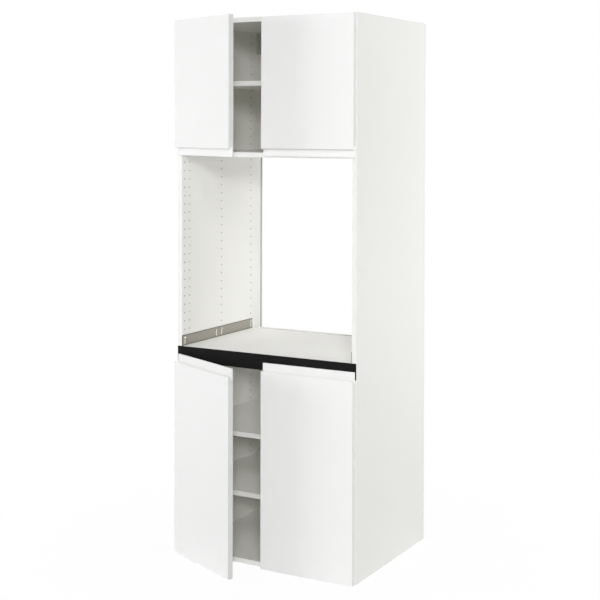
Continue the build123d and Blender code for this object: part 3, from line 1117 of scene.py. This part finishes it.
@dataclass
class Hinge:
    """A cup hinge, drawn from the cabinet's left outer face and front plane, with its row at height 0."""

    door_gap: float = 4 * MM
    cup_x: float = 23 * MM
    cup_radius: float = 17.2 * MM
    cup_depth: float = 13.2 * MM
    cup_sides: int = 48
    cup_ease: float = 0.2 * MM
    cup_clear: float = 5 * MM
    bowl_radius: float = 15.6 * MM
    bowl_floor: float = 0.9 * MM
    room_rise: float = 0.05 * MM
    rim: float = 0.6 * MM
    wing_half_width: float = 12 * MM
    wing_half_height: float = 32 * MM
    wing_thickness: float = 1.2 * MM
    wing_corner: float = 8 * MM
    wing_screw: Span = (6 * MM, 24 * MM)
    wing_screw_head: Span = (3.6 * MM, 1.1 * MM)
    pivot: Span = (10.5 * MM, -13.5 * MM)
    pin_radius: float = 1.25 * MM
    pin_half: float = 10.4 * MM
    pin_play: float = 0.05 * MM
    eye_radius: float = 2.6 * MM
    neck_half: float = 1.6 * MM
    bend: float = 3 * MM
    riser_x: float = 24.5 * MM
    riser_start: float = 0.5 * MM
    arm_half: float = 6 * MM
    arm_play: float = 0.3 * MM
    arm_end: float = 66 * MM
    arm_slot: Span = (40 * MM, 60 * MM)
    arm_slot_half: float = 2 * MM
    arm_slot_corner: float = 1.9 * MM
    arm_screws: Span = (24 * MM, 50 * MM)
    arm_screw_head: Span = (3.9 * MM, 1.4 * MM)
    wall_start: float = 6 * MM
    wall: float = 1.2 * MM
    wall_overlap: float = 0.01 * MM
    board: float = 18 * MM
    plate_thickness: float = 2.6 * MM
    plate_span: Span = (9 * MM, 61 * MM)
    plate_half: float = 9 * MM
    plate_corner: float = 6 * MM
    rib_half: float = 5.7 * MM
    rib_corner: float = 3 * MM
    rib_overlap: float = 0.1 * MM
    ease: float = 0.3 * MM

    def cup(self) -> Piece:
        """The bowl in the door, with wings and their screws.

        Returns:
            The cup.
        """
        x, back = self.cup_x, -self.door_gap
        floor, top = back - self.cup_depth, back + self.wing_thickness
        cup = Bench.block("cup", (x - self.wing_half_width, back, -self.wing_half_height),
                          (x + self.wing_half_width, top, self.wing_half_height))
        Bench.round_corners(cup, Along.Y, self.wing_corner)
        Bench.weld(cup, Bench.rod("bowl", (x, floor, 0), (x, back + self.rim, 0), self.cup_radius,
                                  self.cup_sides))
        floor += self.bowl_floor
        hollow = Bench.rod("hollow", (x, floor, 0), (x, self.cup_clear, 0), self.bowl_radius, self.cup_sides)
        half = self.arm_half + self.arm_play
        room = Bench.block("room", (x - self.bowl_radius, floor + self.room_rise, -half),
                           (x, self.cup_clear, half))
        Bench.cut(cup, hollow, room)
        Bench.ease_edges(cup, self.cup_ease, segments=1)
        Bench.smooth(cup)
        across, rise = self.wing_screw
        turn = Matrix.Rotation(-QUARTER, 4, "X")
        Fasteners.fit(cup, self.wing_screw_head,
                      [Matrix.Translation((x + across, top, level)) @ turn for level in (-rise, rise)])
        Bench.face_slots(cup, lambda middle, normal: int(middle.y > top + NEAR))
        return cup

    def pin(self) -> Piece:
        """The pivot, held in the walls of the bowl.

        Returns:
            The pin.
        """
        x, y = self.pivot
        pin = Bench.rod("pin", (x, y, -self.pin_half), (x, y, self.pin_half), self.pin_radius, sides=24)
        Bench.ease_edges(pin, self.ease)
        Bench.smooth(pin)
        return pin

    def arm(self) -> Piece:
        """The bent arm: an eye, a neck and a channel with two adjusting screws.

        Returns:
            The arm.
        """
        x, y = self.pivot
        half = self.arm_half
        inner, outer = self.riser_x - self.neck_half, self.riser_x + self.neck_half
        arm = Bench.block("arm", (x, y - self.neck_half, -half), (outer, y + self.neck_half, half))
        Bench.round_corners(arm, Along.Z, self.bend, segments=5,
                            where=lambda end: end.x > outer - NEAR and end.y < y)
        Bench.weld(arm, Bench.rod("eye", (x, y, -half), (x, y, half), self.eye_radius),
                   Bench.block("riser", (inner, y + self.riser_start, -half), (outer, self.arm_end, half)))
        lip = self.board + self.plate_thickness + self.arm_play
        for start in (-half - self.wall, half):
            Bench.weld(arm, Bench.block("wall", (lip, self.wall_start, start - self.wall_overlap),
                                        (outer, self.arm_end, start + self.wall + self.wall_overlap)))
        start, end = self.arm_slot
        slot = Bench.block("slot", (inner - OVERCUT, start, -self.arm_slot_half),
                           (outer + OVERCUT, end, self.arm_slot_half))
        Bench.round_corners(slot, Along.X, self.arm_slot_corner, segments=5)
        bore = Bench.rod("bore", (x, y, -self.pin_half), (x, y, self.pin_half),
                         self.pin_radius + self.pin_play, sides=24)
        Bench.cut(arm, bore, slot)
        Bench.ease_edges(arm, self.ease, segments=1)
        Bench.smooth(arm)
        turn = Matrix.Rotation(QUARTER, 4, "Y")
        Fasteners.fit(arm, self.arm_screw_head,
                      [Matrix.Translation((outer, depth, 0)) @ turn for depth in self.arm_screws])
        Bench.face_slots(arm, lambda middle, normal: int(middle.x > outer + NEAR))
        return arm

    def plate(self) -> Piece:
        """The mounting plate on the side panel.

        Returns:
            The plate.
        """
        start, end = self.plate_span
        top = self.board + self.plate_thickness
        plate = Bench.block("plate", (self.board, start, -self.plate_half), (top, end, self.plate_half))
        Bench.round_corners(plate, Along.X, self.plate_corner)
        rib = Bench.block("rib", (top - self.rib_overlap, start, -self.rib_half),
                          (self.riser_x - self.neck_half, end, self.rib_half))
        Bench.round_corners(rib, Along.X, self.rib_corner)
        Bench.weld(plate, rib)
        Bench.ease_edges(plate, self.ease, segments=1)
        Bench.smooth(plate)
        return plate


@dataclass
class Doors:
    """The four doors' own finish, and the hinges and bumpers that hang and stop them."""

    hinge: Hinge = field(default_factory=Hinge)
    rows: dict[Storey, Span] = field(default_factory=lambda: {
        Storey.LOWER: (115 * MM, 659 * MM),
        Storey.UPPER: (1619 * MM, 1939 * MM),
    })
    bumper_x: float = 367.5 * MM
    bumper_radius: float = 4 * MM
    bumpers: dict[Storey, tuple[Span, ...]] = field(default_factory=lambda: {
        Storey.LOWER: ((9 * MM, 3.7 * MM), (754 * MM, 2.5 * MM)),
        Storey.UPPER: ((1526 * MM, 3.7 * MM), (2023 * MM, 3.7 * MM)),
    })

    def still(self, side: Side) -> Matrix:
        """Places what stays on the carcass and is drawn from the left outer face and front plane."""
        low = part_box("side_panel_left")[0]
        return side.place(Matrix.Translation((low.x, low.y, 0)))

    def swung(self, side: Side) -> Matrix:
        """Places what moves with a door, at the door's angle at rest.

        Args:
            side: The door's side. The left doors stand ajar.

        Returns:
            The move.
        """
        if side is Side.RIGHT:
            return self.still(side)
        axis = Matrix.Translation((*self.hinge.pivot, 0))
        return self.still(side) @ axis @ Matrix.Rotation(-AJAR, 4, "Z") @ axis.inverted()

    def bumper(self) -> Piece:
        """A dome of height 1 that rises along +Y from the door's back.

        Returns:
            The bumper.
        """
        Bench.clear()
        bpy.ops.mesh.primitive_uv_sphere_add(segments=24, ring_count=12, radius=1.0)
        bumper = Bench.settle("bumper")
        Bench.pick(bumper)
        bpy.ops.object.mode_set(mode="EDIT")
        bpy.ops.mesh.select_all(action="SELECT")
        bpy.ops.mesh.bisect(plane_co=(0, 0, 0), plane_no=(0, 1, 0), use_fill=True, clear_inner=True)
        bpy.ops.object.mode_set(mode="OBJECT")
        Bench.smooth(bumper, degrees=60.0)
        return bumper

    def build(self) -> None:
        """Dresses the doors and hangs them."""
        patterns = {"cup": self.hinge.cup(), "pin": self.hinge.pin(), "arm": self.hinge.arm(),
                    "plate": self.hinge.plate()}
        bumper = self.bumper()
        for storey in Storey:
            for side in Side:
                door = f"{storey.value}_{side.word}"
                Crew.keep(AJAR_FOIL if side is Side.LEFT else SHUT_FOIL, door + "_door")
                for number, row in enumerate(self.rows[storey]):
                    for name, pattern in patterns.items():
                        moves = name in ("cup", "pin")
                        place = self.swung(side) if moves else self.still(side)
                        piece = Bench.copy(pattern, f"{door}_{name}_{number}",
                                           place @ Matrix.Translation((0, 0, row)))
                        Crew.enlist(piece, door + "_leaf" if moves else CARCASS, "hinge_steel",
                                    (HINGE_NICKEL, SCREW_ZINC), f"{door}_hinge_{name}s")
                for number, (level, rise) in enumerate(self.bumpers[storey]):
                    stand = Matrix.Translation((self.bumper_x, -self.hinge.door_gap, level))
                    size = Matrix.Diagonal((self.bumper_radius, rise, self.bumper_radius, 1))
                    piece = Bench.copy(bumper, f"{door}_bumper_{number}", self.swung(side) @ stand @ size)
                    Crew.enlist(piece, door + "_leaf", "clear_rubber", (BUMPER_RUBBER,), door + "_bumpers")
        for pattern in (*patterns.values(), bumper):
            Bench.discard(pattern)


@dataclass(frozen=True)
class Lamp:
    """A square soft lamp that faces a point of the cabinet."""

    name: str
    place: Point
    size: float
    watts: float
    aim: Point = (0.0, 0.0, 1.1)

    def build(self) -> None:
        """Adds the lamp to the scene."""
        data = bpy.data.lights.new(self.name, "AREA")
        data.size = self.size
        data.energy = self.watts
        lamp = bpy.data.objects.new(self.name, data)
        bpy.context.scene.collection.objects.link(lamp)
        turn = (Vector(self.aim) - Vector(self.place)).to_track_quat("-Z", "Y")
        lamp.matrix_world = Matrix.Translation(self.place) @ turn.to_matrix().to_4x4()


@dataclass
class Studio:
    """The pale floor, the soft light and the camera."""

    eye: Point = (2.42291, -4.37739, 1.63679)
    yaw: float = math.radians(29.130)
    pitch: float = math.radians(1.242)
    roll: float = math.radians(-0.145)
    focal_pixels: float = 1291.997
    centre_pixels: Span = (299.954, 152.412)
    frame_pixels: float = 600.0
    sensor: float = 36.0
    far: float = 100.0
    sky: float = 0.12
    bounces: int = 32
    floor_size: float = 30.0
    floor_level: float = -0.5 * MM
    floor_white: float = 0.95
    floor_roughness: float = 0.9
    floor_clean: float = 0.965
    floor_fade: Span = (0.55, 1.3)
    lamps: tuple[Lamp, ...] = (
        Lamp("camera_lamp", (4.9, -8.5, 3.5), 1.2, 385.0),
        Lamp("high_lamp", (4.6, -7.7, 6.5), 2.4, 215.0),
        Lamp("left_lamp", (-4.2, -2.6, 1.7), 2.0, 87.0),
        Lamp("upper_side_lamp", (1.6, 0.85, 2.3), 0.8, 6.4),
        Lamp("lower_side_lamp", (1.6, 0.9, 0.9), 0.8, 5.6),
        Lamp("rear_lamp", (0.2, 2.8, 3.4), 2.0, 28.0),
    )

    def build_camera(self) -> None:
        """Sets the camera where the photograph was taken."""
        data = bpy.data.cameras.new("photo_camera")
        camera = bpy.data.objects.new("photo_camera", data)
        bpy.context.scene.collection.objects.link(camera)
        forward = Vector((-math.sin(self.yaw) * math.cos(self.pitch),
                          math.cos(self.yaw) * math.cos(self.pitch), -math.sin(self.pitch)))
        right = Vector((math.cos(self.yaw), math.sin(self.yaw), 0))
        down = forward.cross(right)
        turned_right = math.cos(self.roll) * right + math.sin(self.roll) * down
        turned_down = -math.sin(self.roll) * right + math.cos(self.roll) * down
        axes = Matrix((turned_right, -turned_down, -forward)).transposed()
        camera.matrix_world = Matrix.Translation(self.eye) @ axes.to_4x4()
        data.sensor_width = self.sensor
        data.lens = self.focal_pixels / self.frame_pixels * self.sensor
        middle = self.frame_pixels / 2
        data.shift_x = (middle - self.centre_pixels[0]) / self.frame_pixels
        data.shift_y = (self.centre_pixels[1] - middle) / self.frame_pixels
        data.clip_end = self.far
        bpy.context.scene.camera = camera

    def seen(self, tree: Tree) -> Socket:
        """A mask of the rays that show the background: straight, mirrored or through glass."""
        path = tree.add("LightPath").outputs
        return tree.math("MAXIMUM", path["Is Camera Ray"],
                         tree.math("MAXIMUM", path["Is Glossy Ray"], path["Is Transmission Ray"]))

    def build_world(self) -> None:
        """Sets an even white sky."""
        world = bpy.data.worlds.new("studio_sky")
        bpy.context.scene.world = world
        world.use_nodes = True
        tree = Tree(world.node_tree)
        sky = world.node_tree.nodes["Background"].inputs
        sky["Color"].default_value = (1, 1, 1, 1)
        tree.link(tree.math("MULTIPLY_ADD", self.seen(tree), 1.0 - self.sky, self.sky), sky["Strength"])

    def build_floor(self) -> None:
        """Lays a white floor that keeps a faint shadow round the cabinet and is clean white further out."""
        Bench.clear()
        bpy.ops.mesh.primitive_plane_add(size=self.floor_size, location=(0, 0, self.floor_level))
        floor = Bench.settle("studio_floor")
        material = bpy.data.materials.new("studio_floor")
        material.use_nodes = True
        tree = Tree(material.node_tree)
        nodes = material.node_tree.nodes
        shader = nodes["Principled BSDF"]
        shader.inputs["Base Color"].default_value = (*(self.floor_white,) * 3, 1)
        shader.inputs["Roughness"].default_value = self.floor_roughness
        glow = tree.add("Emission", {"Color": (1, 1, 1), "Strength": 1.0})
        away = tree.add("VectorMath", {0: tree.position()}, operation="LENGTH").outputs["Value"]
        near, far = self.floor_fade
        clean = tree.add("MapRange", {"Value": away, "From Min": near, "From Max": far,
                                      "To Min": self.floor_clean, "To Max": 1.0}).outputs[0]
        share = tree.math("MULTIPLY", self.seen(tree), clean)
        mixed = tree.add("MixShader", {0: share, 1: shader.outputs[0], 2: glow.outputs[0]})
        tree.link(mixed.outputs[0], nodes["Material Output"].inputs[0])
        floor.data.materials.append(material)

    def build(self) -> None:
        """Builds the studio. The light is let bounce often enough to fill the half-shut compartments."""
        scene = bpy.context.scene
        scene.view_settings.view_transform = "Standard"
        scene.cycles.max_bounces = self.bounces
        scene.cycles.diffuse_bounces = self.bounces
        self.build_camera()
        self.build_world()
        self.build_floor()
        for lamp in self.lamps:
            lamp.build()


def main() -> None:
    """Builds the cabinet's pieces in order, and then its studio."""
    logging.basicConfig(level=logging.INFO, format="%(name)s: %(message)s")
    for part in (Carcass(), OvenSupport(), HangingBrackets(), Doors(), Studio()):
        part.build()
        LOG.info("%s is built", type(part).__name__)


if __name__ == "__main__":
    main()
